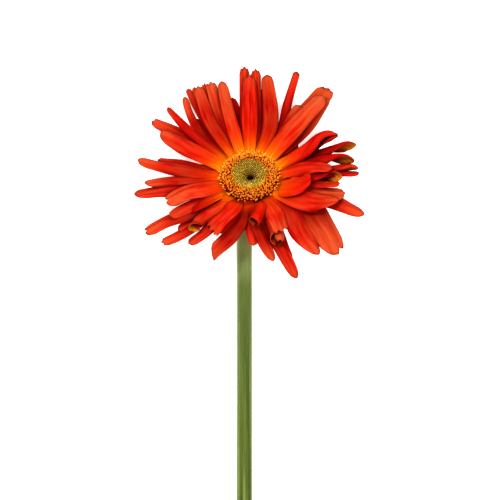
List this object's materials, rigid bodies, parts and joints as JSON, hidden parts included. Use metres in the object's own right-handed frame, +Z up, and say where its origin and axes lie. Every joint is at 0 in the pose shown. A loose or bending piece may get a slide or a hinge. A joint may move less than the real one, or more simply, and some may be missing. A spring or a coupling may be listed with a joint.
{
  "type": "cut gerbera",
  "caption": "Cut gerbera lying on a surface: a leafless stem bent at the neck below an open bloom with loose ray petals round a ring of florets and a dimpled middle.",
  "frame": {"origin": "on the surface the flower lies on, below the middle of its box", "axes": "+Z up from the surface, +Y along the stem from the cut end towards the bloom, +X to the right seen from above with the bloom at the top"},
  "size_m": [0.11, 0.3999, 0.0495],
  "materials": {
    "stem": "fresh green plant tissue, finely haired, faintly ribbed",
    "involucre": "fresh green bracts, matt and finely haired",
    "ray_petals": "satin orange-red petals, orange at their feet",
    "disc_florets": "matt orange florets with paler tips",
    "disc_centre": "matt yellow-green buds with a dark dimple"
  },
  "bodies": {
    "root": {"stem": "stem", "involucre": "involucre", "ray_petals": "ray_petals", "disc_florets": "disc_florets", "disc_centre": "disc_centre"}
  },
  "joints": []
}
